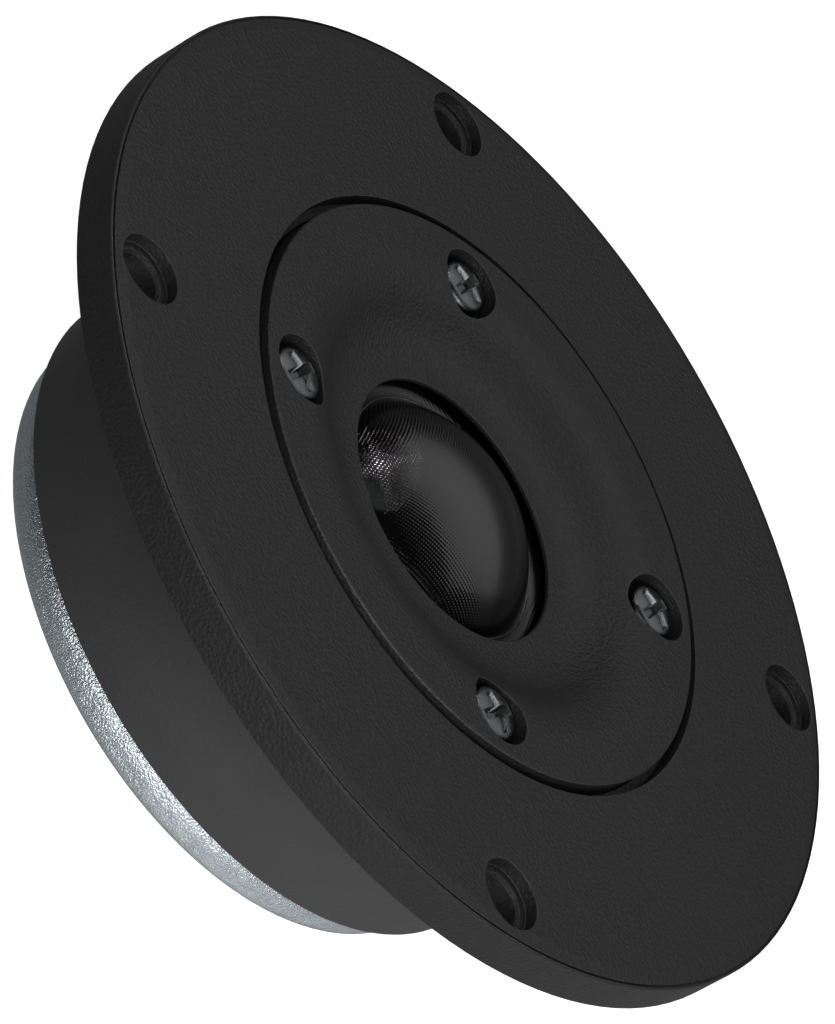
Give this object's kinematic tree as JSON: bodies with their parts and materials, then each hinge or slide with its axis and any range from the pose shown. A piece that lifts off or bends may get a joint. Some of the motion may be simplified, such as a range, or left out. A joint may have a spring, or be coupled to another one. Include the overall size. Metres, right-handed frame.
{
  "type": "dome tweeter",
  "caption": "Round-flanged fabric dome tweeter with a shallow waveguide, covered magnet and zinc-plated rear plate; the diaphragm moves on a sprung slide.",
  "frame": {"origin": "centre of the rear plate's back face, on which the tweeter stands", "axes": "+Z along the axis, the way the dome fires; +Y towards the terminals; +X towards the wide, positive terminal"},
  "size_m": [0.104, 0.104, 0.0325],
  "materials": {
    "grained_black_plastic": "fine leather grain",
    "sleeve_black_plastic": "smooth satin",
    "zinc_plated_steel": "bright zinc plate, mottled at the sheared edge",
    "plain_steel": "machined",
    "ferrite": "dull ground ferrite",
    "black_oxide_steel": "blackened, glossy",
    "bright_screw_steel": "bright",
    "coated_dome_fabric": "woven, coated, glossy",
    "surround_fabric": "woven, semi-gloss coating",
    "former_aluminium": "foil",
    "enamelled_copper": "enamelled copper wire",
    "copper": "bare copper",
    "grey_felt": "pressed wool felt",
    "black_foam": "closed cell foam",
    "carrier_plastic": "moulded",
    "board_laminate": "phenolic laminate",
    "tinned_brass": "tinned",
    "solder": "bright solder"
  },
  "bodies": {
    "frame": {"mounting_flange": "grained_black_plastic", "waveguide_plate": "grained_black_plastic", "front_screws": "black_oxide_steel", "rear_plate": "zinc_plated_steel", "ferrite_magnet": "ferrite", "top_plate": "plain_steel", "pole_piece": "plain_steel", "copper_cap": "copper", "damping_felt": "grey_felt", "chamber_felt": "grey_felt", "magnet_cover": "sleeve_black_plastic", "surround": "surround_fabric", "clamp_gasket": "black_foam", "diaphragm_ring": "carrier_plastic", "terminal_board": "board_laminate", "positive_terminal": "tinned_brass", "negative_terminal": "tinned_brass", "terminal_rivets": "tinned_brass", "terminal_screw": "bright_screw_steel", "positive_lead": "enamelled_copper", "negative_lead": "enamelled_copper", "solder_joints": "solder"},
    "diaphragm": {"dome": "coated_dome_fabric", "voice_coil_former": "former_aluminium", "voice_coil_winding": "enamelled_copper"}
  },
  "joints": [
    {"name": "diaphragm_slide", "type": "slide", "parent": "frame", "child": "diaphragm", "axis": [0, 0, 1], "range_m": [-0.0004, 0.0004], "stiffness_N_per_m": 5000, "deforming": ["surround", "positive_lead", "negative_lead"]}
  ]
}
